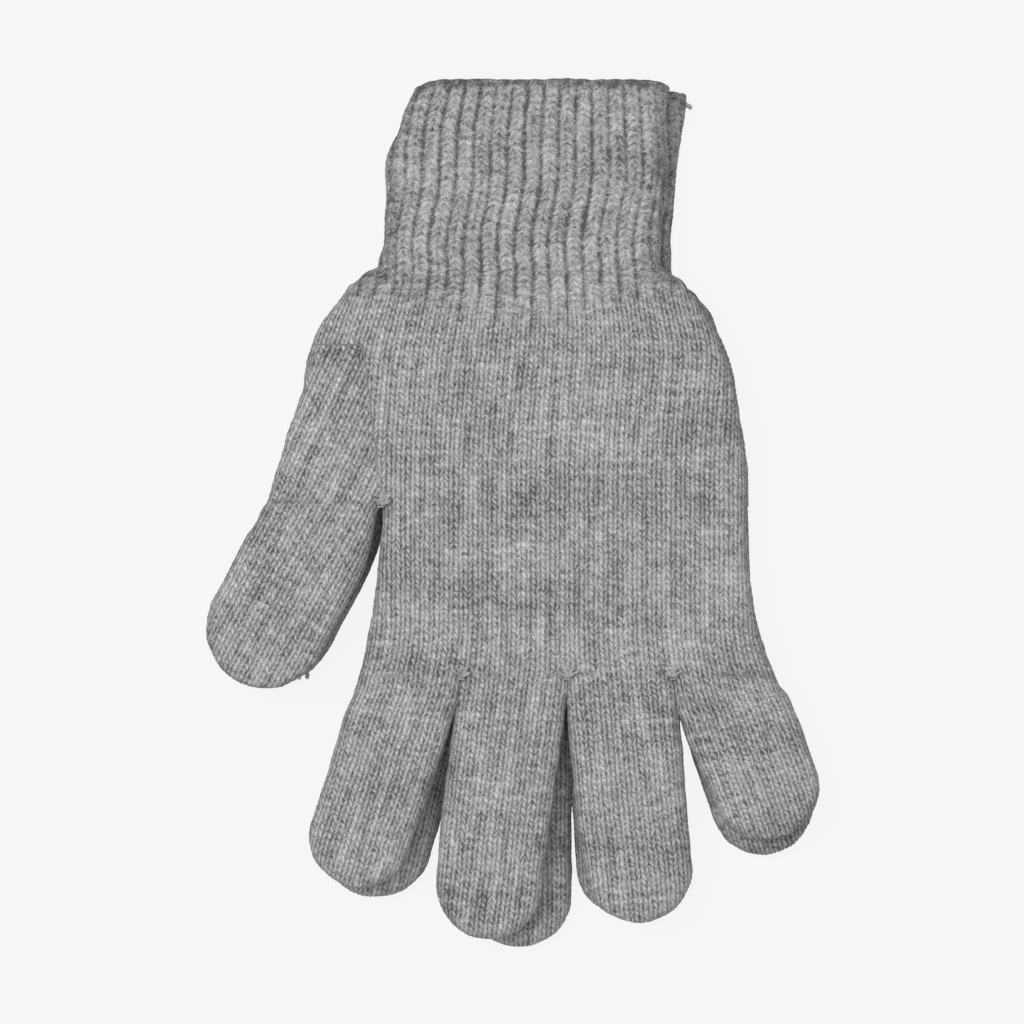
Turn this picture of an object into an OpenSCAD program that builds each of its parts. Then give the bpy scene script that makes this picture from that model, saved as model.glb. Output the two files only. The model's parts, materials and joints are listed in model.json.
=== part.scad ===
// A pair of knitted gloves lying flat, one stacked on the other, fingers towards -Y.
// Every section of each glove is a hollow knitted sleeve with a real wall, so the glove
// is open from its cuff to its fingertips. Millimetres, +Z up, resting on z = 0.

/* [Pair] */
// Thickness of one glove lying flat
glove_t = 10; // [8:0.5:14]
// Thickness of the knitted fabric
wall = 2.2; // [1.4:0.1:2.6]
// Free height between the two gloves
stack_gap = 1.0; // [0.6:0.1:4]
// How far the lower glove lies towards the fingertips
lower_slip = 2.5; // [0:0.5:6]
// Gap between sections that move on each other
joint_gap = 0.4; // [0.3:0.1:0.8]

/* [Cuff] */
// Length of the ribbed cuff, hem included
cuff_l = 52; // [40:1:70]
// Width of the cuff at the wrist
cuff_w = 79; // [70:1:90]
// Width of the cuff at its mouth
mouth_w = 74; // [66:1:84]
// How far the cuff leans towards the little finger at its mouth
cuff_lean = 6.5; // [0:0.5:10]
// Height of the rolled hem round the mouth
welt_h = 3.2; // [2:0.2:6]

/* [Hand] */
// Length from the wrist to the thumb crotch
hand_l = 66; // [50:1:80]
// Length from the thumb crotch to the finger crotches
band_l = 48.5; // [35:0.5:60]
// Width of the hand below the thumb
palm_w = 102; // [95:1:112]
// Roundness of the flare from the wrist to the hand
flare = 2.7; // [1.5:0.1:3]

/* [Digits] */
// Gap between neighbouring fingers at the crotch
crotch_gap = 1.0; // [0.8:0.1:2]
// Width of the thumb
thumb_w = 33; // [28:0.5:36]
// Length of the thumb
thumb_l = 56; // [42:1:66]
// Angle of the thumb from the palm's long direction
thumb_tilt = 28; // [20:1:34]
// Width of a finger at its root
finger_w = 28.3; // [24:0.1:30]
// Length of the index finger
index_l = 62; // [50:0.5:74]
// Length of the middle finger
middle_l = 74; // [60:0.5:90]
// Length of the ring finger
ring_l = 70; // [56:0.5:84]
// Length of the little finger
little_l = 48.5; // [40:0.5:60]

/* [Yarn] */
// Diameter of the yarn
yarn_d = 1.6; // [1:0.1:2.2]
// Length of a yarn end that stands out
tail_l = 3; // [2:0.5:8]
// Number of closing stitches at each crotch
stitches = 3; // [2:1:4]

/* [Hidden] */

LOWER = 0;
UPPER = 1;
THUMB = 0;
INDEX = 1;
MIDDLE = 2;
RING = 3;
LITTLE = 4;

wool = [0.55, 0.55, 0.56];
wool_dark = [0.45, 0.45, 0.46];
yarn = [0.62, 0.62, 0.63];

half_t = glove_t / 2;
arc_steps = 6;                        // facets round each folded edge
tip_turns = [0, 24, 44, 62, 77, 86];  // where a fingertip's rings stand, in degrees
tail_turn = 22;                       // where the thumb's yarn end stands, likewise
thumb_lean = 2.4;                     // the thumb's swell towards the palm

// Heights of each glove's middle plane, [lower, upper].
mid_z = [half_t, glove_t + stack_gap + half_t];
// The two gloves don't lie exactly on each other: sideways offset of the lower one at
// its cuff and its hand, and how much narrower its hidden thumb side is.
cuff_shift = [3.3, 0];
hand_shift = [1.2, 0];
hand_inset = [2.4, 0];

// Stations along the hand. The pair is centred on the origin from hem to longest tip.
long_l = cuff_l + hand_l + band_l + middle_l + lower_slip + joint_gap;
wrist_y = long_l / 2 - cuff_l;
thumb_y = wrist_y - hand_l;
knuckle_y = thumb_y - band_l;
slip = [lower_slip, 0];

// Places across the hand, from the thumb crotch line.
palm_left = -36.5;
palm_right = palm_left + palm_w;
thumb_root_w = thumb_w * 0.985;
wrist_x = 2;                     // middle of the wrist
knuckle_left = -42.7;            // thumb side of the row of fingers
knuckle_right = knuckle_left + 4 * finger_w + 3 * crotch_gap;
shoulder_w = 59;                 // half width at the end of the flare, from x = 0
flare_l = hand_l * 0.62;         // length of the flare on the thumb side
flare_long = hand_l * 0.86;      // and on the little finger side

// Each digit, by [glove][digit]: [tilt in degrees, length, half width].
half_w = finger_w / 2;
DIGITS = [[[thumb_tilt - 0.5, thumb_l - 4, thumb_w / 2 - 1],
           [-13, index_l, half_w + 1.6], [-0.5, middle_l, half_w + 0.6],
           [0.8, ring_l - 4, half_w + 0.3], [15.3, little_l + 1.5, half_w + 0.5]],
          [[thumb_tilt, thumb_l, thumb_w / 2 + 0.2],
           [-16.6, index_l, half_w + 0.4], [-7.5, middle_l, half_w + 1.2],
           [5, ring_l, half_w + 1.5], [19.3, little_l, half_w + 1.2]]];

// ---- points --------------------------------------------------------------------

// Smooth step from 0 to 1.
function ease(t) = let (c = min(max(t, 0), 1)) c * c * (3 - 2 * c);

// Outline of a flattened tube: flat above and below, round at its two folded edges.
function flat_oval(w, h) =
    let (r = min(w, h))
    [for (side = [0, 1], i = [0:arc_steps])
        let (a = 180 * side - 90 + 180 * i / arc_steps)
        [(1 - 2 * side) * (w - r) + r * cos(a), h * sin(a)]];

// The same outline standing at c = [x, y, z], turned by a degrees about Z.
function ring_at(c, a, w, h) =
    [for (p = flat_oval(w, h)) [c[0] + p[0] * cos(a), c[1] + p[0] * sin(a), c[2] + p[1]]];

// A ring of a station [centre, turn, half width, half height], drawn in by d.
function ring_of(s, d) = ring_at(s[0], s[1], s[2] - d, s[3] - d);

// Faces between ring i and the next one, for rings that start at point k.
function band_faces(k, n, i, flip) =
    [for (j = [0:n - 1])
        let (a = k + i * n + j, b = k + i * n + (j + 1) % n)
        each flip ? [[a, a + n, b + n], [a, b + n, b]] : [[a, b + n, a + n], [a, b, b + n]]];

// Faces that join the outer ring at point a to the inner ring at point b.
function rim_faces(a, b, n, flip) =
    [for (j = [0:n - 1])
        let (k = (j + 1) % n)
        each flip ? [[a + j, b + j, b + k], [a + j, b + k, a + k]]
                  : [[a + j, b + k, b + j], [a + j, a + k, b + k]]];

function disc_face(a, n, flip) = [[for (j = [0:n - 1]) a + (flip ? n - 1 - j : j)]];

// A hollow sleeve, open at both ends, through stations that run towards -Y.
module sleeve(stations) {
    n = 2 * (arc_steps + 1);
    m = len(stations);
    outer = [for (s = stations) each ring_of(s, 0)];
    inner = [for (s = stations) each ring_of(s, wall)];
    polyhedron(concat(outer, inner), concat(
        [for (i = [0:m - 2]) each band_faces(0, n, i, true)],
        [for (i = [0:m - 2]) each band_faces(m * n, n, i, false)],
        rim_faces(0, m * n, n, false),
        rim_faces((m - 1) * n, (2 * m - 1) * n, n, true)));
}

// A hollow rounded end: stations for its outside and its inside, the last ones closed.
module cap(outside, inside) {
    n = 2 * (arc_steps + 1);
    m = len(outside);
    outer = [for (s = outside) each ring_of(s, 0)];
    inner = [for (s = inside) each ring_of(s, 0)];
    polyhedron(concat(outer, inner), concat(
        [for (i = [0:m - 2]) each band_faces(0, n, i, true)],
        [for (i = [0:m - 2]) each band_faces(m * n, n, i, false)],
        rim_faces(0, m * n, n, false),
        disc_face((m - 1) * n, n, true),
        disc_face((2 * m - 1) * n, n, false)));
}

// ---- outline of the hand --------------------------------------------------------

// A station of the hand from its left and right edges.
function hand_station(g, y, left, right) =
    [[(left + right) / 2, y - slip[g], mid_z[g]], 0, (right - left) / 2, half_t];

// Middle and half width of the cuff at t = 0 (wrist) to 1 (mouth).
function cuff_station(g, t) =
    [[wrist_x + cuff_lean * t * t + cuff_shift[g], wrist_y + cuff_l * t - slip[g], mid_z[g]],
     0, (cuff_w + (mouth_w - cuff_w) * t * t) / 2, half_t];

function curve_out(t) = 1 - pow(1 - min(max(t, 0), 1), flare);

// Left edge from the wrist down to the thumb crotch, with the swell of the thumb's root.
function left_edge(g, y) =
    let (d = wrist_y - y, start = wrist_x - cuff_w / 2,
         swell = palm_left - thumb_root_w + shoulder_w)
    start + (-shoulder_w - start) * curve_out(d / flare_l)
        + swell * max(0, (d / hand_l - 0.53) / 0.47) + hand_inset[g]
        + (cuff_shift[g] - hand_inset[g]) * (1 - ease(d / flare_l));

// Right edge from the wrist down to the thumb crotch.
function right_edge(g, y) =
    let (d = wrist_y - y, start = wrist_x + cuff_w / 2)
    start + (palm_right - start) * curve_out(d / flare_long)
        + hand_shift[g] + (cuff_shift[g] - hand_shift[g]) * ease(1 - d / flare_l);

// Left and right edges of the band between the thumb crotch and the fingers.
function band_left(g, t) =
    palm_left + hand_inset[g] + (knuckle_left - palm_left) * pow(t, 1.7);
function band_right(g, t) =
    palm_right + hand_shift[g] + (knuckle_right - palm_right) * pow(t, 2.2);

// ---- digits ---------------------------------------------------------------------

// Middle of a digit's root.
function root(g, k) =
    k == THUMB ? [palm_left - thumb_root_w / 2 + hand_inset[g], thumb_y - slip[g]]
               : [knuckle_left + finger_w / 2 + (k - 1) * (finger_w + crotch_gap)
                  + hand_shift[g], knuckle_y - slip[g]];

function root_half(g, k) =
    (k == THUMB ? thumb_root_w / 2 - joint_gap : finger_w / 2) - 0.2 * (1 - g);
function tilt(g, k) = (k == THUMB ? -1 : 1) * DIGITS[g][k][0];
function full_half(g, k) = DIGITS[g][k][2];
function tip_l(g, k) = full_half(g, k) * (k == THUMB ? 1.05 : 0.95);
function tube_l(g, k) = DIGITS[g][k][1] - tip_l(g, k);

// A point s along the digit and l across it, in the glove's middle plane.
function along(g, k, s, l) =
    let (a = tilt(g, k), c = root(g, k))
    [c[0] + s * sin(a) + l * cos(a), c[1] - s * cos(a) + l * sin(a), mid_z[g]];

// Stations of the tube: the root is cut square to the glove and the rest turns to the
// digit's own direction.
function tube_station(g, k, s) =
    let (turn = ease(s / (0.45 * tube_l(g, k))),
         side = k == THUMB ? thumb_lean : 0,
         start = along(g, k, s, side * turn),
         w = root_half(g, k) + (full_half(g, k) - root_half(g, k)) * turn)
    [[start[0], start[1] - joint_gap, start[2]], tilt(g, k) * turn, w, half_t];

// Station of the rounded tip at t degrees round it, drawn in by d.
function tip_station(g, k, t, d) =
    let (base = tube_station(g, k, tube_l(g, k)), a = tilt(g, k),
         s = (tip_l(g, k) - d) * sin(t))
    [[base[0][0] + s * sin(a), base[0][1] - s * cos(a), base[0][2]], a,
     (base[2] - d) * cos(t), (half_t - d) * pow(cos(t), 0.45)];

function tip_stations(g, k, d) = [for (t = tip_turns) tip_station(g, k, t, d)];

module digit_tube(g, k) {
    color(wool)
        sleeve([for (t = [0, 0.12, 0.25, 0.45, 1]) tube_station(g, k, t * tube_l(g, k))]);
}

module digit_tip(g, k) {
    color(wool)
        cap(tip_stations(g, k, 0), tip_stations(g, k, wall));
}

// ---- sections of a glove ----------------------------------------------------------

module cuff_welt(g) {
    top = welt_h / cuff_l;
    color(wool_dark)
        sleeve([cuff_station(g, 1), cuff_station(g, 1 - top)]);
}

module cuff_rib(g) {
    top = welt_h / cuff_l;
    low = joint_gap / cuff_l;
    color(wool)
        sleeve([for (t = [0:0.25:1]) cuff_station(g, (1 - top) * (1 - t) + low * t)]);
}

module hand(g) {
    color(wool)
        sleeve([for (t = [0, 0.08, 0.18, 0.3, 0.46, 0.66, 1])
            let (y = wrist_y - t * hand_l)
            hand_station(g, y, left_edge(g, y), right_edge(g, y))]);
}

module knuckle_band(g) {
    color(wool)
        sleeve([for (t = [0, 0.35, 0.7, 1])
            hand_station(g, thumb_y - t * band_l, band_left(g, t), band_right(g, t))]);
}

// Short half-round stitches laid over the fabric where the digits part.
module crotch_stitches(g) {
    high = min(yarn_d / 2, stack_gap - 0.4);
    sites = concat([[palm_left + hand_inset[g] + 4, thumb_y - 6]],
        [for (k = [INDEX:RING])
            [root(g, k)[0] + (finger_w + crotch_gap) / 2, knuckle_y + 4.5]]);
    color(yarn)
        for (site = sites, i = [0:stitches - 1])
            translate([site[0] + (i - (stitches - 1) / 2) * 1.6 * yarn_d,
                       site[1] - slip[g], mid_z[g] + half_t])
                rotate([90, 0, 0])
                    linear_extrude(height = 5, center = true)
                        intersection() {
                            scale([1, high / (yarn_d / 2)]) circle(d = yarn_d, $fn = 24);
                            translate([-yarn_d / 2, 0]) square([yarn_d, yarn_d]);
                        }
}

// Loose end of the yarn that closes the thumb, drawn through the tip's wall.
module thumb_yarn_end(g) {
    s = tip_station(g, THUMB, tail_turn, wall);
    color(yarn)
        translate(s[0] + s[2] * [cos(s[1]), sin(s[1]), 0])
            rotate([0, 0, s[1] - tail_turn])
                rotate([0, 90, 0])
                    cylinder(d = yarn_d, h = tail_l + wall, $fn = 20);
}

// Loose end of the yarn at the corner of the cuff's mouth, sewn through the hem.
module cuff_yarn_end(g) {
    s = cuff_station(g, 1 - welt_h / cuff_l / 2);
    color(yarn)
        translate([s[0][0] + s[2] - wall, s[0][1], s[0][2]])
            rotate([0, 90, 0])
                cylinder(d = yarn_d, h = tail_l + wall, $fn = 20);
}

cuff_welt(LOWER);  // lower_cuff_welt
cuff_rib(LOWER);  // lower_cuff_rib
hand(LOWER);  // lower_hand
knuckle_band(LOWER);  // lower_knuckle_band
digit_tube(LOWER, THUMB);  // lower_thumb
digit_tube(LOWER, INDEX);  // lower_index
digit_tube(LOWER, MIDDLE);  // lower_middle
digit_tube(LOWER, RING);  // lower_ring
digit_tube(LOWER, LITTLE);  // lower_little
digit_tip(LOWER, THUMB);  // lower_thumb_tip
digit_tip(LOWER, INDEX);  // lower_index_tip
digit_tip(LOWER, MIDDLE);  // lower_middle_tip
digit_tip(LOWER, RING);  // lower_ring_tip
digit_tip(LOWER, LITTLE);  // lower_little_tip
crotch_stitches(LOWER);  // lower_crotch_stitches
thumb_yarn_end(LOWER);  // lower_thumb_yarn_end
cuff_yarn_end(LOWER);  // lower_cuff_yarn_end
cuff_welt(UPPER);  // upper_cuff_welt
cuff_rib(UPPER);  // upper_cuff_rib
hand(UPPER);  // upper_hand
knuckle_band(UPPER);  // upper_knuckle_band
digit_tube(UPPER, THUMB);  // upper_thumb
digit_tube(UPPER, INDEX);  // upper_index
digit_tube(UPPER, MIDDLE);  // upper_middle
digit_tube(UPPER, RING);  // upper_ring
digit_tube(UPPER, LITTLE);  // upper_little
digit_tip(UPPER, THUMB);  // upper_thumb_tip
digit_tip(UPPER, INDEX);  // upper_index_tip
digit_tip(UPPER, MIDDLE);  // upper_middle_tip
digit_tip(UPPER, RING);  // upper_ring_tip
digit_tip(UPPER, LITTLE);  // upper_little_tip
crotch_stitches(UPPER);  // upper_crotch_stitches
thumb_yarn_end(UPPER);  // upper_thumb_yarn_end
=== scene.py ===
"""A pair of heather grey knitted gloves lying flat, one on the other, on a pale floor.

Each knitted section is one fine grid laid over the design's sleeve, with its stitches as
real relief: raised on the cuffs, and sunk on the other sections, whose rows run the other
way (see grid_normals). The same stitch coordinates drive the yarn's colour, with painted
shade between the strands, and its fibres.
Lengths here are in millimetres until a mesh is made.
"""
import json
import math

import bpy
import numpy as np
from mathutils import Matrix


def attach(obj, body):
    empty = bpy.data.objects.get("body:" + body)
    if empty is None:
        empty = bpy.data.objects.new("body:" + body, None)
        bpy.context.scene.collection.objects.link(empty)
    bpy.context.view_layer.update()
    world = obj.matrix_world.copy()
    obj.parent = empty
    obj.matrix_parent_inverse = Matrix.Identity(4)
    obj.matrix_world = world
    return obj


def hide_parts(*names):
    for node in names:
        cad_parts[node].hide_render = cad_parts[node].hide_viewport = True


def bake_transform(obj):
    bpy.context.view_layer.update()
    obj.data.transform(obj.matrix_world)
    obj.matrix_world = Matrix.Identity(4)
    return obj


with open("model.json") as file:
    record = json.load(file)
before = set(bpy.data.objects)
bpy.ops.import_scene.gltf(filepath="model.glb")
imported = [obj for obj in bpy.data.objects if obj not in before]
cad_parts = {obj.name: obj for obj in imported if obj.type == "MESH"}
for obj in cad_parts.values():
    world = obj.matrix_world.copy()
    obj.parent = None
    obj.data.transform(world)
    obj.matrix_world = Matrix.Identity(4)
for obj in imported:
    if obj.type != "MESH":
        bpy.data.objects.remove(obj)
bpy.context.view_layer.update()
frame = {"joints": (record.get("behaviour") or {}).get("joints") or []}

MM = 0.001
JOINT = {j["name"]: j for j in frame["joints"]}
DIGITS = ("thumb", "index", "middle", "ring", "little")


def joint_mm(name):
    """Where a hinge of the frame stands, in millimetres."""
    return [1000 * c for c in JOINT[name]["pos_m"]]


# ---- sizes of the gloves ------------------------------------------------------------
WALE = 2.7            # width of a stitch
COURSE = 1.72         # height of a stitch
RIB_WALE = 2.39       # half of one rib, knit wale or purl wale
RIB_COURSE = 1.95     # height of a stitch in the cuff
SPACING = 0.43    # distance between grid points
WALL = 2.2            # thickness of the fabric
HALF_T = 4.55         # half thickness of a glove, before the relief of its stitches
EDGE = 5.2            # how far in from a folded edge the fabric rounds off
WANDER, RIPPLE = 0.25, 0.16     # slow and quick unevenness of the fabric
TUCK = 1.5            # how far a cuff or digit reaches into the hand
WRIST_LAP, LAP = 1.0, 0.6       # how far the hand and the band run on past their ends

WRIST_Y = joint_mm("upper_cuff_fold")[1]
THUMB_Y = joint_mm("upper_thumb_fold")[1]
KNUCKLE_Y = joint_mm("upper_index_fold")[1]
HAND_L = WRIST_Y - THUMB_Y
BAND_L = THUMB_Y - KNUCKLE_Y
CUFF_L = 52.0
WELT_H = 3.2
CUFF_W, MOUTH_W, CUFF_LEAN = 79.0, 74.0, 6.5
WRIST_X = joint_mm("upper_cuff_fold")[0]
PALM_LEFT, PALM_W = -36.5, 102.0
PALM_RIGHT = PALM_LEFT + PALM_W
THUMB_ROOT_W = 32.5
FINGER_W, CROTCH_GAP = 28.3, 1.0
KNUCKLE_LEFT = -42.7
KNUCKLE_RIGHT = KNUCKLE_LEFT + 4 * FINGER_W + 3 * CROTCH_GAP
SHOULDER_W, FLARE = 59.0, 2.7
LEFT_FLARE, RIGHT_FLARE = 0.62, 0.86    # share of the hand over which each side widens
GUSSET_FROM = 0.53    # share of the hand above the swell of the gusset
BAND_LEFT_BEND, BAND_RIGHT_BEND = 1.7, 2.7      # the higher, the later a side bends
THUMB_PART, KNUCKLE_PART = 3.4, 2.6     # length over which the hand and the band part
THUMB_LEAN = 2.4      # the thumb's swell towards the palm

# Each glove: height of its middle plane, how it lies against the upper one, how much its
# mouth narrows, its cuff's extra roundness, the droop of its hem's right corner, and the
# length of its thumb's yarn end. The lower cuff is pressed to a rounder side.
GLOVES = {
    "lower": dict(z=5.0, slip=2.5, cuff=3.3, hand=1.2, inset=2.4, mouth=-0.6, rounder=4.5,
                  corner=0.3, thumb_yarn=3.7, body="root", seed=7.0),
    "upper": dict(z=16.0, slip=0.0, cuff=0.0, hand=0.0, inset=0.0, mouth=1.3, rounder=0.0,
                  corner=1.2, thumb_yarn=2.7, body="upper_hand_body", seed=0.0),
}
# Each digit: tilt from -Y towards +X in degrees, length, half width.
SHAPES = {
    "lower": dict(thumb=(-28.5, 52, 15.1), index=(-13, 62, 15.75), middle=(-0.5, 74, 14.75),
                  ring=(0.8, 66, 14.45), little=(15.3, 50, 14.65)),
    "upper": dict(thumb=(-28, 56, 17.1), index=(-16.6, 62, 14.55), middle=(-7.5, 74, 15.35),
                  ring=(5, 70, 15.65), little=(19.3, 48.5, 15.35)),
}


def ease(t):
    """0 to 1 with a soft start and end."""
    c = np.clip(t, 0, 1)
    return c * c * (3 - 2 * c)


def curve_out(t):
    """0 to 1, fast at first."""
    return 1 - (1 - np.clip(t, 0, 1)) ** FLARE


def wander(a, b, seed, scale=1.0):
    """A smooth uneven field of two coordinates in millimetres, roughly within -1 to 1."""
    a, b = a / scale, b / scale
    return (np.sin(0.21 * a + 0.13 * b + 1.7 + seed)
            + np.sin(-0.11 * a + 0.27 * b + 4.1 + 2.3 * seed)
            + 0.7 * np.sin(0.37 * a - 0.19 * b + 0.6 + 1.1 * seed)
            + 0.5 * np.sin(0.52 * a + 0.43 * b + 2.9 + 3.7 * seed)) / 3.2


# ---- outlines: the design's, a little softer at the wrist and along the hand ---------
def left_edge(g, y):
    d = WRIST_Y - y
    start = WRIST_X - CUFF_W / 2
    swell = PALM_LEFT - THUMB_ROOT_W + SHOULDER_W
    start -= 1.5 * ease(d / 3) * math.exp(-((d - 4.5) / 3.5) ** 2)
    return (start + (-SHOULDER_W - start) * curve_out(d / (LEFT_FLARE * HAND_L))
            + swell * max(0, (d / HAND_L - GUSSET_FROM) / (1 - GUSSET_FROM)) + g["inset"]
            + (g["cuff"] - g["inset"]) * (1 - ease(d / (LEFT_FLARE * HAND_L))))


def right_edge(g, y):
    d = WRIST_Y - y
    start = WRIST_X + CUFF_W / 2
    full_hand = (1.6 * math.exp(-((d - 8) / 6) ** 2) * ease(d / 4)
                 - 1.4 * math.exp(-((d - 38) / 14) ** 2))
    return (start + (PALM_RIGHT - start) * curve_out(d / (RIGHT_FLARE * HAND_L)) + full_hand
            + g["hand"] + (g["cuff"] - g["hand"]) * ease(1 - d / (LEFT_FLARE * HAND_L)))


def band_left(g, t):
    return PALM_LEFT + g["inset"] + (KNUCKLE_LEFT - PALM_LEFT) * t ** BAND_LEFT_BEND


def band_right(g, t):
    return PALM_RIGHT + g["hand"] + (KNUCKLE_RIGHT - PALM_RIGHT) * t ** BAND_RIGHT_BEND


def cuff_middle(g, t):
    return WRIST_X + CUFF_LEAN * t * t + g["cuff"]


def cuff_half(t):
    return (CUFF_W + (MOUTH_W - CUFF_W) * t * t) / 2


def root(g, k):
    """Middle of a digit's root."""
    if k == "thumb":
        return np.array([PALM_LEFT - THUMB_ROOT_W / 2 + g["inset"], THUMB_Y - g["slip"]])
    i = DIGITS.index(k) - 1
    return np.array([KNUCKLE_LEFT + FINGER_W / 2 + i * (FINGER_W + CROTCH_GAP) + g["hand"],
                     KNUCKLE_Y - g["slip"]])


def root_half(k):
    return (THUMB_ROOT_W if k == "thumb" else FINGER_W) / 2


def tip_length(k, full):
    """How long a digit's rounded tip is, full being half its width."""
    return full * (1.05 if k == "thumb" else 0.95)


# ---- cross-sections -----------------------------------------------------------------
def rise(l, half, high, edge=EDGE):
    """Height of a flattened tube over its middle plane, l across from its middle."""
    power = max(2.3, 2 * half / edge)
    q = np.clip(np.abs(l) / max(half, 1e-6), 0, 1)
    return high * np.sqrt(np.clip(1 - q ** power, 0, 1))


def spread(half):
    """Close-set places across a tube, closest at its two folded edges."""
    return half * np.sin(np.linspace(-math.pi / 2, math.pi / 2, 1200))


def arc_along(l, z):
    """Length along a section up to each of its places."""
    return np.concatenate([[0], np.cumsum(np.hypot(np.diff(l), np.diff(z)))])


def cross_section(half, height_at, count, unroll_high):
    """count places across a tube at equal steps along its surface: across, height, and how
    far each is from the middle along the plain round surface."""
    l = spread(half)
    z = height_at(l)
    arc = arc_along(l, z)
    at = np.linspace(0, arc[-1], count)
    across = np.interp(at, arc, l)
    plain = arc_along(l, rise(l, half, unroll_high))
    unrolled = np.interp(across, l, plain - plain[-1] / 2)
    return across, np.interp(at, arc, z), unrolled


# ---- stitch coordinates ---------------------------------------------------------------
def palm_field(g, x, y):
    """(wale, course) at a place of the hand. The wales fan out below the wrist and bend
    towards each finger above the knuckles."""
    y = y + g["slip"]
    down = WRIST_Y - y
    wale = RIB_WALE + (WALE - RIB_WALE) * ease(down / 28)
    middle = WRIST_X + g["cuff"] - (3.5 + g["cuff"] - g["hand"]) * ease(down / 60)
    lean = np.radians(-4 + 0.38 * (x - 0.5))
    bend = 8 * np.clip(1 - (y - KNUCKLE_Y) / 16, 0, 1) ** 2
    return (x - np.tan(lean) * bend - middle) / wale, down / COURSE


def thumb_field(g, x, y, lean):
    """The same over the thumb, whose wales run down from the side of the hand."""
    a = math.radians(lean)
    cx, cy = PALM_LEFT + g["inset"], THUMB_Y - g["slip"]
    u0, v0 = palm_field(g, cx, cy)
    dx, dy = x - cx, y - cy
    return (u0 + (dx * math.cos(a) + dy * math.sin(a)) / WALE,
            v0 + (dx * math.sin(a) - dy * math.cos(a)) / COURSE)


def hand_field(g, x, y, unrolled_x):
    """Stitches of the hand: the palm's, and past the gusset's line the thumb's, where its
    extra wales begin."""
    u, v = palm_field(g, unrolled_x, y)
    tu, tv = thumb_field(g, unrolled_x, y, SHAPES[g["name"]]["thumb"][0] + 3)
    thumb = (x < PALM_LEFT + g["inset"] - 0.12 * (y - THUMB_Y)) & (y < THUMB_Y + 44)
    return np.where(thumb, tu, u), np.where(thumb, tv, v)


# ---- relief of the stitches -------------------------------------------------------------
AXIS = 0.45           # where a stitch's two legs meet across its wale
LEFT_STEEP, RIGHT_STEEP, ARCH = 1.15, 0.85, 0.75


def jersey(u, v):
    """Plain knit: each wale is a stack of Vs, one leg steeper than the other."""
    f = u - np.floor(u)
    right = f > AXIS
    d = np.abs(f - AXIS) / np.where(right, 1 - AXIS, AXIS)
    w = v - d * np.where(right, RIGHT_STEEP, LEFT_STEEP)
    leg = np.sin(math.pi * np.clip(d, 0, 1)) ** 0.9
    return 0.42 * leg * (0.45 + 0.55 * (0.5 + 0.5 * np.cos(2 * math.pi * w)))


def rib(u, v):
    """Ribs two wales apart: rounded loops heaped in a column, with a groove between."""
    off = np.abs((u + 0.5) % 2 - 1)
    column = ease((0.99 - off) / 0.42)
    w = v - ARCH * np.minimum(off / 0.8, 1) ** 1.5
    crown = 0.14 * (1 - np.minimum(off, 1) ** 2)
    return 0.4 * (column - 1) + crown + column * 0.21 * (0.5 + 0.5 * np.cos(2 * math.pi * w))


def relief(u, v, ribbed):
    """Plain knit at 0, rib at 1, and the drawn-in hem, where the ribs run together, at 2."""
    ribs = np.minimum(ribbed, 1)
    hem = np.maximum(ribbed - 1, 0)
    return jersey(u, v) * (1 - ribs) + rib(u, v) * ribs * (1 - 0.75 * hem) - 0.15 * hem


# ---- meshes -------------------------------------------------------------------------------
def grid_object(name, points, knit):
    """A tube from rows of points, each row closed, with stitch coordinates as an attribute
    and an even map of its own for baking."""
    rows, count = points.shape[:2]
    i, j = np.meshgrid(np.arange(rows - 1), np.arange(count), indexing="ij")
    k = (j + 1) % count
    quads = np.stack([i * count + j, (i + 1) * count + j, (i + 1) * count + k,
                      i * count + k], -1).reshape(-1, 4)
    me = bpy.data.meshes.new(name)
    me.vertices.add(rows * count)
    me.vertices.foreach_set("co", (points.reshape(-1) * MM).astype(np.float32))
    me.loops.add(quads.size)
    me.loops.foreach_set("vertex_index", quads.reshape(-1).astype(np.int32))
    me.polygons.add(len(quads))
    me.polygons.foreach_set("loop_start", np.arange(0, quads.size, 4, dtype=np.int32))
    me.update(calc_edges=True)
    me.validate()
    me.attributes.new("knit", "FLOAT_VECTOR", "POINT").data.foreach_set(
        "vector", knit.reshape(-1).astype(np.float32))
    across = np.stack([j, j, j + 1, j + 1], -1).reshape(-1) / count
    along = np.stack([i, i + 1, i + 1, i], -1).reshape(-1) / (rows - 1)
    margin = 0.01
    places = margin + (1 - 2 * margin) * np.stack([across, along], -1)
    me.uv_layers.new(name="OFBake").data.foreach_set(
        "uv", places.reshape(-1).astype(np.float32))
    me.shade_smooth()
    ob = bpy.data.objects.new(name, me)
    bpy.context.scene.collection.objects.link(ob)
    return ob


def grid_normals(points):
    """Unit normals of a tube's grid: out of it where its rows run towards +Y, as a cuff's
    do, and into it where they run towards -Y, as the other sections' do."""
    along = np.gradient(points, axis=0)
    around = np.roll(points, -1, 1) - np.roll(points, 1, 1)
    n = np.cross(around, along)
    size = np.linalg.norm(n, axis=2, keepdims=True)
    return n / np.maximum(size, 1e-9)


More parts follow.
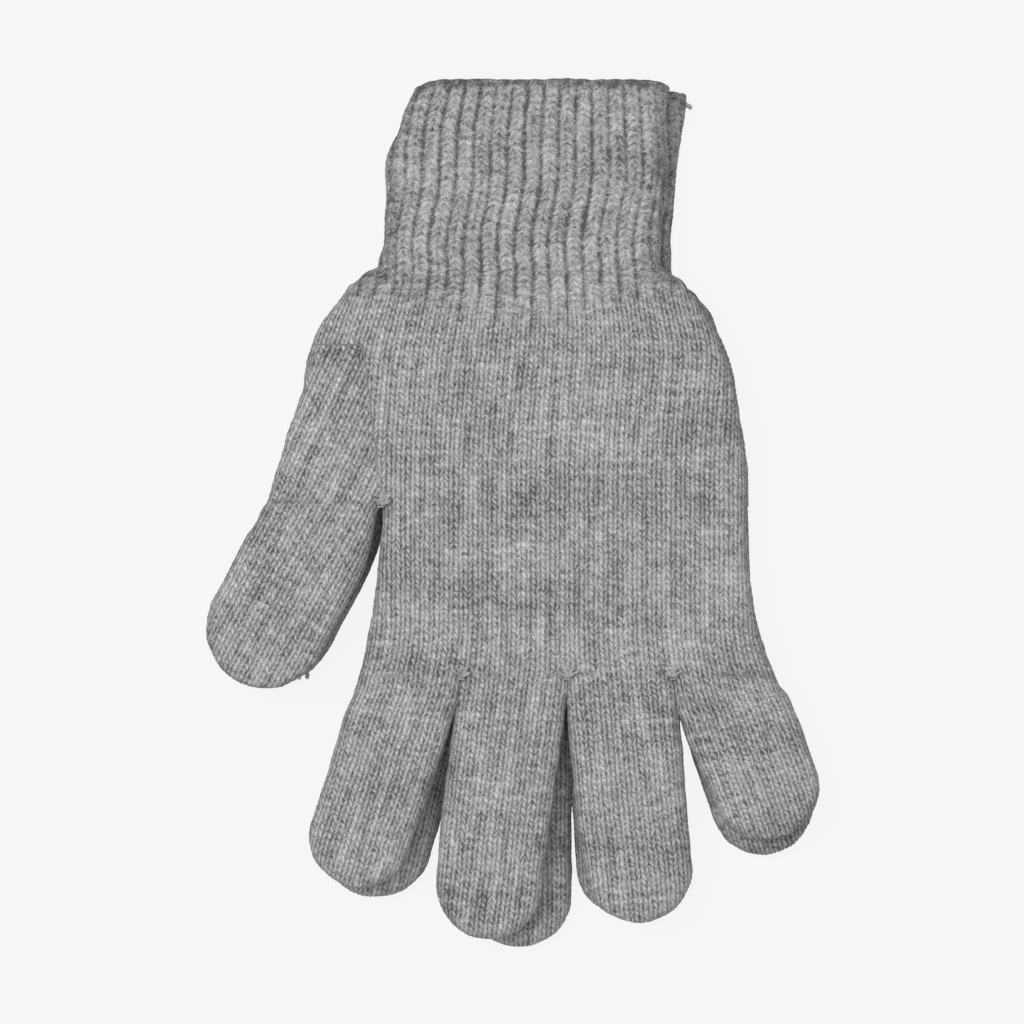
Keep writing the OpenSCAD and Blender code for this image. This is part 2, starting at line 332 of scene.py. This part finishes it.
def knit_tube(name, g, rows):
    """A knitted tube through rows of (middle xy, turn, across, height, wales, courses,
    ribbed). Front first, from the thumb side, then the back."""
    points, knit = [], []
    for (mx, my), turn, across, height, u, v, ribbed in rows:
        x = mx + across * math.cos(turn)
        y = my + across * math.sin(turn)
        front = np.stack([x, y, g["z"] + height], -1)
        back = np.stack([x, y, g["z"] - height], -1)[-2:0:-1]
        points.append(np.concatenate([front, back]))
        coords = np.stack([u, v, np.broadcast_to(ribbed, u.shape)], -1)
        knit.append(np.concatenate([coords, coords[-2:0:-1]]))
    points, knit = np.array(points), np.array(knit)
    lift = relief(knit[..., 0], knit[..., 1], knit[..., 2])
    lift = lift + WANDER * wander(points[..., 0], points[..., 1], g["seed"])
    lift = lift + RIPPLE * wander(points[..., 0], points[..., 1], g["seed"] + 3, 0.4)
    points = points + grid_normals(points) * lift[..., None]
    return grid_object(name, points, knit)


def steps(length, spacing=None):
    """How many places a length is divided by."""
    return max(2, int(round(length / (spacing or SPACING))) + 1)


def side_ribs(q):
    """The ribs run together at the folded edges, and the knit colour paints shade along them."""
    return 1 + 0.6 * ease((q - 0.86) / 0.12)


def ribbed_at(g, x, y):
    """How much of the rib is left at a place below the wrist: it fades first at the sides."""
    side = np.clip(np.abs(x - WRIST_X) / (CUFF_W / 2), 0, 1)
    faded = (WRIST_Y - g["slip"] - y - 6 + 4 * side ** 2) / (15 - 6 * side ** 2)
    return (1 - ease(faded)) * side_ribs(side)


def cuff(g):
    """The ribbed cuff, from just inside the hand to the hem, over its rolled lip and back
    down inside, so the mouth is open."""
    count = steps(CUFF_W + 2 * EDGE)
    lip = WALL / 2 + 0.1
    outer = [(t, 0.0) for t in np.linspace(-TUCK / CUFF_L, 1 - lip / CUFF_L, steps(CUFF_L))]
    top = outer[-1][0]
    roll = [(top, w) for w in np.linspace(0, math.pi, 13)[1:]]
    inner = [(t, math.pi) for t in np.linspace(top, 0.02, steps(CUFF_L, 1.3))[1:]]
    rows = []
    for t, w in outer + roll + inner:
        up = max(t, 0)
        in_by = lip * (1 - math.cos(w))
        slack = (1.2 * ease(t / 0.12) - 1.9 * math.exp(-((t - 0.57) / 0.13) ** 2)
                 - 0.4 * math.exp(-((t - 0.8) / 0.06) ** 2))
        lean_in = g["mouth"] * ease((t - 0.35) / 0.5)
        # The plain sleeve starts under the hand's last rows and comes up through them.
        under = 0.14 - 0.21 * ease((t * CUFF_L + 1.0) / 1.9)
        half = cuff_half(up) - slack / 2 - lean_in / 2 - in_by - under
        high = HALF_T - in_by - under
        edge = EDGE + g["rounder"] * ease(t / 0.4)
        across, height, unrolled = cross_section(
            half, lambda l: rise(l, half, high, edge), count, high)
        q = np.abs(across) / half
        corner = np.where(across < 0, 1.9, g["corner"])
        bowed = 0.35 * (1 - q * q) - corner * q ** 11
        y = WRIST_Y + t * CUFF_L - g["slip"] + lip * math.sin(w) + bowed * ease((t - 0.8) / 0.2)
        bend = 1.0 * math.sin(7.0 * up + 0.4) * (across / half) * up + 0.5 * math.sin(11 * up)
        # The ribs lean over the cuff's first four fifths and stand straight to the hem.
        stray = CUFF_LEAN * up * up + (slack - lean_in) / 2 - 3.2 * ease(t / 0.8)
        u = (unrolled + bend + stray) / (RIB_WALE * cuff_half(up) / (CUFF_W / 2))
        v = np.full_like(u, -(t * CUFF_L + lip * w) / RIB_COURSE)
        # The welt is drawn smooth, and the knit colour paints shade over it.
        hem = ease((t * CUFF_L - (CUFF_L - WELT_H)) / 1.6) * (1 - ease(w - 2.2))
        rows.append(((cuff_middle(g, up) + (slack - lean_in) / 2, y), 0, across, height, u, v,
                     side_ribs(q) * (1 - hem) + 2 * hem))
    return knit_tube(g["name"] + "_cuff_rib_knit", g, rows)


def hand(g):
    """The hand, from the wrist to the thumb's crotch, where it parts in two."""
    count = steps(PALM_W + THUMB_ROOT_W + 2 * EDGE, SPACING * 1.08)
    thumb_x, thumb_half = root(g, "thumb")[0], root_half("thumb")
    rows = []
    for y in np.linspace(WRIST_Y + WRIST_LAP, THUMB_Y - LAP, steps(HAND_L)):
        left, right = left_edge(g, y), right_edge(g, y)
        mid, half = (left + right) / 2, (right - left) / 2
        part = ease(1 - (y - THUMB_Y) / THUMB_PART) ** 2
        palm_l, palm_r = band_left(g, 0), band_right(g, 0)

        def height_at(l):
            x = l + mid
            whole = rise(l, half, HALF_T)
            palm = rise(x - (palm_l + palm_r) / 2, (palm_r - palm_l) / 2, HALF_T)
            thumb = rise(x - thumb_x, thumb_half, HALF_T)
            return whole + (np.where(x > palm_l, palm, thumb) - whole) * part

        across, height, unrolled = cross_section(half, height_at, count, HALF_T)
        yy = y - g["slip"]
        u, v = hand_field(g, across + mid, yy, unrolled + mid)
        rows.append(((mid, yy), 0, across, height, u, v, ribbed_at(g, across + mid, yy)))
    return knit_tube(g["name"] + "_hand_knit", g, rows)


def knuckle_band(g):
    """The band below the thumb, which parts into four at the knuckles."""
    count = steps(KNUCKLE_RIGHT - KNUCKLE_LEFT + 2 * EDGE)
    roots = [root(g, k)[0] for k in DIGITS[1:]]
    rows = []
    for t in np.linspace(0, 1 + LAP / BAND_L, steps(BAND_L)):
        left, right = band_left(g, t), band_right(g, t)
        if t > 0.7:
            left += (roots[0] - FINGER_W / 2 - band_left(g, 1)) * ease((t - 0.7) / 0.3)
        mid, half = (left + right) / 2, (right - left) / 2
        part = ease(1 - (1 - t) * BAND_L / KNUCKLE_PART) ** 2

        def height_at(l):
            whole = rise(l, half, HALF_T)
            split = np.max([rise(l + mid - x, FINGER_W / 2, HALF_T)
                            * (np.abs(l + mid - x) < FINGER_W / 2) for x in roots], 0)
            return whole + (split - whole) * part

        across, height, unrolled = cross_section(half, height_at, count, HALF_T)
        y = THUMB_Y - t * BAND_L - g["slip"]
        u, v = palm_field(g, unrolled + mid, np.full_like(unrolled, y))
        rows.append(((mid, y), 0, across, height, u, v, 0.0))
    return knit_tube(g["name"] + "_knuckle_band_knit", g, rows)


def digit(g, k):
    """A digit from inside the hand to its rounded tip, as one closed sleeve."""
    tilt, length, full = SHAPES[g["name"]][k]
    a = math.radians(tilt)
    tip = tip_length(k, full)
    length += 0.7 * (k == "middle")
    tube = length - tip
    start = root(g, k)
    count = steps(2 * full + 1.2 * EDGE)
    u0, v0 = palm_field(g, start[0], start[1])
    tube_steps = np.linspace(-TUCK, tube, steps(tube + TUCK))
    turns = np.linspace(0, math.pi / 2, steps(tip * 1.25))[1:]
    rows = []
    for s, turn in [(s, 0.0) for s in tube_steps] + [(tube, w) for w in turns]:
        twist = float(ease(max(s, 0) / (0.45 * tube)))
        side = THUMB_LEAN * twist if k == "thumb" else 0
        half = root_half(k) + (full - root_half(k)) * twist
        if k == "thumb":
            # The outer side leaves the hand in one line.
            slack = 0.5 * math.sin(math.pi * min(max(s / (0.55 * tube), 0), 1)) ** 2
            side, half = side + slack, half - slack
        else:
            # Neighbours lie against each other below their crotch.
            more = 0.42 * (1 - ease((s - 14) / 22)) + 0.55 * math.exp(-((s - 7) / 7) ** 2)
            if g["name"] == "lower" and k in ("middle", "ring"):
                more += 0.5 * float(ease((s - 6) / 14))
            more += (0.35 + 0.14 * max(s, 0)) * (1 - float(ease((s - 2.5) / 8)))
            one_side = {"index": 1, "little": -1}.get(k, 0)
            side += one_side * more / 2
            half += more * (1 - abs(one_side) / 2)
            # Towards the tip each narrows, most on the side it shares with its neighbour.
            narrow = 1.0 * float(ease((s - tube + 20) / 22))
            side += (-0.5 if k == "index" else 0.5) * narrow
            half -= (0.2 if k in ("index", "little") else 0.5) * narrow
        half *= math.cos(turn)
        high = HALF_T * math.cos(turn) ** 0.6
        # The plain sleeve starts under the rows before it and comes up through them.
        under = 0.15 - 0.21 * float(ease((s + 0.8) / 1.4))
        if turn == 0:
            half -= under
        high -= under * math.cos(turn)
        run = s + tip * math.sin(turn)
        mx = start[0] + run * math.sin(a) + side * math.cos(a)
        my = start[1] - run * math.cos(a) + side * math.sin(a)
        across, height, unrolled = cross_section(
            max(half, 1e-3), lambda l: rise(l, max(half, 1e-3), high), count, high)
        if k == "thumb":
            x = mx + unrolled * math.cos(a * twist)
            y = my + unrolled * math.sin(a * twist)
            u, v = thumb_field(g, x, y, tilt)
        else:
            u = u0 + unrolled / WALE
            v = np.full_like(u, v0 + run / COURSE)
        rows.append(((mx, my), a * twist, across, height, u, v, 0.0))
    return knit_tube("%s_%s_knit" % (g["name"], k), g, rows)


# ---- materials -----------------------------------------------------------------------
DARK_FIBRE_AND_GAP_SHADE = (0.075, 0.077, 0.082, 1)       # dark fibres, and painted shade in the gaps between the strands
LIGHT = (0.64, 0.645, 0.655, 1)       # fibres on them


class Nodes:
    """Short hand for a material's node tree."""

    def __init__(self, tree):
        self.tree = tree

    def add(self, kind, **values):
        node = self.tree.nodes.new(kind)
        for key, value in values.items():
            setattr(node, key, value)
        return node

    def link(self, out, into):
        self.tree.links.new(out, into)

    def fed(self, node, *inputs):
        """A node's output, with numbers or other outputs in its first sockets."""
        for socket, value in zip(node.inputs, inputs):
            if isinstance(value, (int, float)):
                socket.default_value = value
            else:
                self.link(value, socket)
        return node.outputs[0]

    def math(self, operation, *inputs):
        return self.fed(self.add("ShaderNodeMath", operation=operation), *inputs)

    def combine(self, x, y, z):
        return self.fed(self.add("ShaderNodeCombineXYZ"), x, y, z)

    def noise(self, vector, scale, detail, roughness):
        node = self.add("ShaderNodeTexNoise")
        self.link(vector, node.inputs["Vector"])
        node.inputs["Scale"].default_value = scale
        node.inputs["Detail"].default_value = detail
        node.inputs["Roughness"].default_value = roughness
        return node.outputs["Fac"]


def noisy(n, vector, scale, gain, detail, roughness=0.55):
    """Noise about zero."""
    return n.math("MULTIPLY", n.math("SUBTRACT", n.noise(vector, scale, detail, roughness),
                                     0.5), gain)


def stitch_noise(n, u, v, across, along, layer, detail, roughness):
    """Noise drawn out over the stitches: so many changes across a wale and along it."""
    place = n.combine(n.math("MULTIPLY", u, across), n.math("MULTIPLY", v, along), layer)
    return noisy(n, place, 1.0, 1.0, detail, roughness)


def clamped(n, value):
    return n.math("MAXIMUM", n.math("MINIMUM", value, 1.0), 0.0)


def total(n, *terms):
    out = terms[0]
    for term in terms[1:]:
        out = n.math("ADD", out, term)
    return out


def mix(n, share, a, b):
    return n.math("ADD", a, n.math("MULTIPLY", share, n.math("SUBTRACT", b, a)))


def wave(n, w):
    """0 between strands and 1 on them."""
    return n.math("MULTIPLY_ADD", n.math("COSINE", n.math("MULTIPLY", w, 2 * math.pi)),
                  0.5, 0.5)


def finish(shader):
    shader.inputs["Roughness"].default_value = 0.92
    shader.inputs["Specular IOR Level"].default_value = 0.12
    shader.inputs["Sheen Weight"].default_value = 0.15
    shader.inputs["Sheen Roughness"].default_value = 0.55


def heather(n, tone, shader, height, strength):
    """Colour by tone, from dark fibres and the painted shade between strands to the light fibres
    on them.
    """
    ramp = n.add("ShaderNodeValToRGB")
    ramp.color_ramp.elements[0].color = DARK_FIBRE_AND_GAP_SHADE
    ramp.color_ramp.elements[1].color = LIGHT
    n.link(tone, ramp.inputs[0])
    n.link(ramp.outputs[0], shader.inputs["Base Color"])
    bump = n.add("ShaderNodeBump")
    bump.inputs["Strength"].default_value = strength
    bump.inputs["Distance"].default_value = 0.0004
    n.link(height, bump.inputs["Height"])
    n.link(bump.outputs[0], shader.inputs["Normal"])
    finish(shader)


def plain_strands(n, u, v):
    """Phase along the strands of plain knit, and how high each place is drawn."""
    f = n.math("FRACT", u)
    right = n.math("GREATER_THAN", f, AXIS)
    width = n.math("MULTIPLY_ADD", right, 1 - 2 * AXIS, AXIS)
    d = n.math("DIVIDE", n.math("ABSOLUTE", n.math("SUBTRACT", f, AXIS)), width)
    steep = n.math("MULTIPLY_ADD", right, RIGHT_STEEP - LEFT_STEEP, LEFT_STEEP)
    w = n.math("SUBTRACT", v, n.math("MULTIPLY", d, steep))
    leg = n.math("POWER", n.math("SINE", n.math("MULTIPLY", d, math.pi)), 0.95)
    return w, n.math("MULTIPLY", leg, n.math("MULTIPLY_ADD", wave(n, w), 0.6, 0.4))


def rib_strands(n, u, v):
    """The same for the ribs."""
    off = n.math("ABSOLUTE", n.math("SUBTRACT", n.math("FLOORED_MODULO",
                 n.math("ADD", u, 0.5), 2.0), 1.0))
    arch = n.math("POWER", n.math("MINIMUM", n.math("DIVIDE", off, 0.8), 1.0), 1.5)
    w = n.math("SUBTRACT", v, n.math("MULTIPLY", arch, ARCH))
    column = n.math("MINIMUM", n.math("MULTIPLY", n.math("MAXIMUM",
                    n.math("SUBTRACT", 0.99, off), 0.0), 2.5), 1.0)
    heap = n.math("MULTIPLY", column, n.math("MULTIPLY_ADD", wave(n, w), 0.32, 0.45))
    return w, n.math("MULTIPLY", heap, n.math("MULTIPLY_ADD", n.math("MINIMUM",
                     n.math("MULTIPLY", off, 4.0), 1.0), 0.25, 0.75))


def wool(name):
    """Heather grey knit, drawn stitch by stitch over the knit coordinates."""
    mat = bpy.data.materials.new(name)
    mat.use_nodes = True
    n = Nodes(mat.node_tree)
    knit = n.add("ShaderNodeAttribute", attribute_name="knit").outputs["Vector"]
    split = n.add("ShaderNodeSeparateXYZ")
    n.link(knit, split.inputs[0])
    u, v, ribbed = split.outputs
    place = n.add("ShaderNodeTexCoord").outputs["Object"]
    v = n.math("ADD", v, noisy(n, place, 420, 1.1, 1))
    u = n.math("ADD", u, noisy(n, place, 300, 0.30, 1))
    ribs = n.math("MINIMUM", ribbed, 1.0)
    hem = n.math("MAXIMUM", n.math("SUBTRACT", ribbed, 1.0), 0.0)

    w_plain, plain = plain_strands(n, u, v)
    w_rib, heap = rib_strands(n, u, v)
    high = mix(n, hem, mix(n, ribs, plain, heap), 0.28)
    w = mix(n, ribs, w_plain, w_rib)
    # Fibres lie along each strand; the heather comes from single dark and light strands.
    fibre = stitch_noise(n, u, w, 2.3, 2.6, 0.0, 2, 0.75)
    speck = n.math("MULTIPLY", noisy(n, place, 2300, 1.0, 1, 0.6),
                   n.math("MULTIPLY_ADD", ribs, 0.35, 1.0))
    strand = stitch_noise(n, u, v, 0.8, 1.0, 2.0, 1, 0.6)
    smear = stitch_noise(n, u, v, 0.28, 0.75, 5.0, 2, 0.55)
    streak = stitch_noise(n, u, v, 1.0, 0.09, 3.0, 1, 0.5)
    cloud = stitch_noise(n, u, v, 0.07, 0.12, 9.0, 2, 0.5)
    # The hem term paints shade along the cuff's folded edges and over its welt.
    shares = ((fibre, 1.1), (speck, 0.6), (strand, 0.65), (smear, 0.32), (streak, 0.5),
              (cloud, 0.42), (ribs, -0.03), (hem, -0.13))
    # The tone follows the strands' drawn height: painted shade between strands and ribs.
    tone = total(n, n.math("MULTIPLY_ADD", high, 0.56, 0.10),
                 *[n.math("MULTIPLY", term, share) for term, share in shares])
    height = total(n, n.math("MULTIPLY", high, 0.6), n.math("MULTIPLY", fibre, 0.9),
                   n.math("MULTIPLY", speck, 0.5))
    heather(n, clamped(n, tone), mat.node_tree.nodes["Principled BSDF"], height, 0.6)
    return mat


def loose_yarn(name):
    """The same wool as single twisted yarn, off the knitting."""
    mat = bpy.data.materials.new(name)
    mat.use_nodes = True
    n = Nodes(mat.node_tree)
    place = n.add("ShaderNodeTexCoord").outputs["Object"]
    fibre = noisy(n, place, 1500, 1.3, 3, 0.7)
    strand = noisy(n, place, 260, 0.8, 1)
    tone = total(n, n.math("MULTIPLY_ADD", fibre, 0.8, 0.52), strand)
    heather(n, clamped(n, tone), mat.node_tree.nodes["Principled BSDF"], fibre, 0.7)
    return mat


JERSEY = wool("jersey_knit")
RIB = wool("rib_knit")
YARN = loose_yarn("yarn")


# ---- loose yarn ------------------------------------------------------------------------
PLY_TURN = 3.2        # length of one turn of a yarn's plies
FAN = (-56, -26, 4, 30, 58)     # headings of a crotch's loops, in degrees
FAN_OUT = (0.0, 0.25, 0.5, 0.85, 1.15)          # places along such a loop,
FAN_HIGH = (4.1, 4.35, 4.55, 4.6, 4.2)          # and their heights


def strands(name, paths, radius=0.42, plies=2, sides=8):
    """Short twisted yarns along smooth paths, as one mesh; each ends rounded."""
    verts, faces = [], []
    for path in paths:
        path = np.array(path, float)
        t = np.linspace(0, 1, len(path))
        fine = np.linspace(0, 1, 26)
        line = np.stack([np.interp(fine, t, path[:, i]) for i in range(3)], -1)
        for _ in range(6):
            line[1:-1] = (line[:-2] + 2 * line[1:-1] + line[2:]) / 4
        run = np.concatenate([[0], np.cumsum(np.linalg.norm(np.diff(line, axis=0), axis=1))])
        tangent = np.gradient(line, axis=0)
        tangent /= np.linalg.norm(tangent, axis=1, keepdims=True)
        side = np.cross(tangent, [0.31, 0.17, 0.93])
        side /= np.linalg.norm(side, axis=1, keepdims=True)
        over = np.cross(tangent, side)
        for ply in range(plies):
            spin = 2 * math.pi * (run / PLY_TURN + ply / plies)
            swing = radius * 0.55 * (np.cos(spin)[:, None] * side + np.sin(spin)[:, None] * over)
            centre = line + swing
            thick = radius * 0.62 * np.clip(np.minimum(run, run[-1] - run) / 0.5, 0.15, 1) ** 0.5
            first = len(verts)
            for c, across, up, r in zip(centre, side, over, thick):
                for j in range(sides):
                    w = 2 * math.pi * j / sides
                    verts.append(c + r * (math.cos(w) * across + math.sin(w) * up))
            rings = len(centre)
            for i in range(rings - 1):
                for j in range(sides):
                    a = first + i * sides + j
                    b = first + i * sides + (j + 1) % sides
                    faces.append((a, b, b + sides, a + sides))
            faces.append(tuple(first + j for j in range(sides))[::-1])
            faces.append(tuple(first + (rings - 1) * sides + j for j in range(sides)))
    me = bpy.data.meshes.new(name)
    me.from_pydata([tuple(float(c) * MM for c in v) for v in verts], [], faces)
    me.validate()
    me.shade_smooth()
    ob = bpy.data.objects.new(name, me)
    bpy.context.scene.collection.objects.link(ob)
    return ob


def fan(g, i, x, y, side):
    """Loops that spread over a crotch's edge."""
    paths = []
    for j, lean in enumerate(FAN):
        a = math.radians(lean + 9 * math.sin(3.1 * i + 2.3 * j + g["seed"]))
        long = 2.7 + 0.8 * math.sin(1.7 * i + 4.1 * j)
        ux, uy = math.sin(a), math.cos(a)
        paths.append([(x + r * ux * long, y - 2.0 + r * uy * long, g["z"] + side * h)
                      for r, h in zip(FAN_OUT, FAN_HIGH)])
    return paths


def rungs(g, i, x, y, side):
    """Short bars below a crotch, narrower one by one."""
    lean = math.radians(SHAPES[g["name"]]["thumb"][0] / 2 if i == 0 else -4 + 0.3 * x)
    paths = []
    for j in range(5):
        r, wide = -0.5 + 0.75 * j, 1.9 - 0.22 * j
        tilt = 0.25 * math.sin(2.1 * i + 1.9 * j)
        paths.append([(x + r * math.sin(lean) + l, y - r * math.cos(lean) + tilt * l,
                       g["z"] + side * (4.6 - 0.25 * j - 0.08 * l * l))
                      for l in np.linspace(-wide, wide, 5)])
    return paths


def darning(g):
    """Loops of yarn that close each crotch, front and back."""
    crotches = [(PALM_LEFT + g["inset"] + 0.3, THUMB_Y - g["slip"] + 1.0)]
    roots = [root(g, k) for k in DIGITS[1:]]
    crotches += [((a[0] + b[0]) / 2, a[1] + 1.3) for a, b in zip(roots, roots[1:])]
    paths = []
    for i, (x, y) in enumerate(crotches):
        for loops in (fan, rungs):
            for side in (1, -1):
                paths += loops(g, i, x, y, side)
    return strands(g["name"] + "_crotch_loops", paths, radius=0.38)


def yarn_end(name, at, heading, z, length, curl):
    """A cut end of yarn that stands out of the fabric and droops a little."""
    a = math.radians(heading)
    path = []
    for r in np.linspace(0, 1, 6):
        b = a + curl * r
        path.append((at[0] + length * r * math.cos(b), at[1] + length * r * math.sin(b),
                     z - 0.9 * r * r))
    return strands(name, [path], radius=0.62, plies=3)


def thumb_end(g):
    """Where the thumb's knitting closes: a short end on the palm side of its tip."""
    tilt, length, full = SHAPES[g["name"]]["thumb"]
    a = math.radians(tilt)
    tip = tip_length("thumb", full)
    start = root(g, "thumb")
    turn = math.radians(24)
    run = length - tip + tip * math.sin(turn)
    half = full * math.cos(turn) - 2.6
    side = THUMB_LEAN + half
    x = start[0] + run * math.sin(a) + side * math.cos(a)
    y = start[1] - run * math.cos(a) + side * math.sin(a)
    heading = tilt - 28
    return yarn_end(g["name"] + "_thumb_yarn", (x, y), heading,
                    g["z"] + 0.8, g["thumb_yarn"], -0.35)


def cuff_end(g):
    """A short end at the hem's little finger corner."""
    x = cuff_middle(g, 1) + cuff_half(1) - 1.6
    y = WRIST_Y + CUFF_L - g["slip"] - 3.4
    return yarn_end(g["name"] + "_cuff_yarn", (x, y), 8, g["z"], 3.6, -0.5)


def dress(ob, mat, slot, *nodes):
    """Give a piece its material and hide the solids it stands for."""
    ob.data.materials.append(mat)
    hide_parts(*nodes)
    return ob


# ---- the two gloves ----------------------------------------------------------------------
def across_joint(ob):
    """Bake a digit's placement into its mesh."""
    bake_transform(ob)


def make_glove(name):
    g = GLOVES[name]
    g["name"] = name
    sleeve = dress(cuff(g), RIB, "rib_knit", name + "_cuff_rib", name + "_cuff_welt")
    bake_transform(sleeve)
    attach(dress(hand(g), JERSEY, "jersey_knit", name + "_hand"), g["body"])
    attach(dress(knuckle_band(g), JERSEY, "jersey_knit", name + "_knuckle_band"), g["body"])
    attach(dress(darning(g), YARN, "yarn", name + "_crotch_stitches"), g["body"])
    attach(dress(thumb_end(g), YARN, "yarn", name + "_thumb_yarn_end"),
            name + "_thumb_body")
    if name == "lower":
        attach(dress(cuff_end(g), YARN, "yarn", name + "_cuff_yarn_end"),
                name + "_cuff_body")
    for k in DIGITS:
        part = "%s_%s" % (name, k)
        across_joint(dress(digit(g, k), JERSEY, "jersey_knit", part, part + "_tip"))


for glove in GLOVES:
    make_glove(glove)


# ---- floor, light and camera, in metres ----------------------------------------------------
FLOOR_GLOW = 0.878
STUDIO_LIGHT = 0.60
VIEW_WIDTH = 0.2867


def floor():
    """A pale lit floor, bright enough to swallow nearly all of the shadow on it."""
    bpy.ops.mesh.primitive_plane_add(size=6, location=(0, 0, 0))
    ob = bpy.context.object
    ob.name = "floor"
    mat = bpy.data.materials.new("floor")
    mat.use_nodes = True
    shader = mat.node_tree.nodes["Principled BSDF"]
    shader.inputs["Base Color"].default_value = (0.05, 0.05, 0.05, 1)
    shader.inputs["Roughness"].default_value = 1.0
    shader.inputs["Specular IOR Level"].default_value = 0.0
    shader.inputs["Emission Color"].default_value = (0.99, 1.0, 0.995, 1)
    shader.inputs["Emission Strength"].default_value = FLOOR_GLOW
    ob.data.materials.append(mat)
    ob.visible_diffuse = False
    ob.visible_glossy = False


def area_light(name, place, size, power):
    """A round soft light that faces the gloves."""
    data = bpy.data.lights.new(name, "AREA")
    data.shape, data.size, data.energy = "DISK", size, power
    ob = bpy.data.objects.new(name, data)
    ob.location = place
    direction = -np.array(place) / np.linalg.norm(place)
    yaw, pitch = math.atan2(direction[1], direction[0]), math.asin(direction[2])
    ob.rotation_euler = (math.pi / 2 + pitch, 0, yaw - math.pi / 2)
    bpy.context.scene.collection.objects.link(ob)


def camera(width, lens=220.0, sensor=36.0):
    """Straight above, level with the floor's edges, width metres wide at the gloves."""
    data = bpy.data.cameras.new("camera")
    data.lens, data.sensor_width = lens, sensor
    ob = bpy.data.objects.new("camera", data)
    ob.location = (-0.0001, 0.0007, 0.018 + width * lens / sensor)
    bpy.context.scene.collection.objects.link(ob)
    bpy.context.scene.camera = ob


floor()
area_light("key", (-0.5, 0.3, 1.25), 0.8, 10)
area_light("fill", (0.3, -0.2, 1.5), 1.2, 4)
world = bpy.data.worlds.new("studio")
bpy.context.scene.world = world
world.use_nodes = True
world.node_tree.nodes["Background"].inputs["Color"].default_value = (1, 1, 1, 1)
world.node_tree.nodes["Background"].inputs["Strength"].default_value = STUDIO_LIGHT
bpy.context.scene.view_settings.view_transform = "Standard"
camera(VIEW_WIDTH)
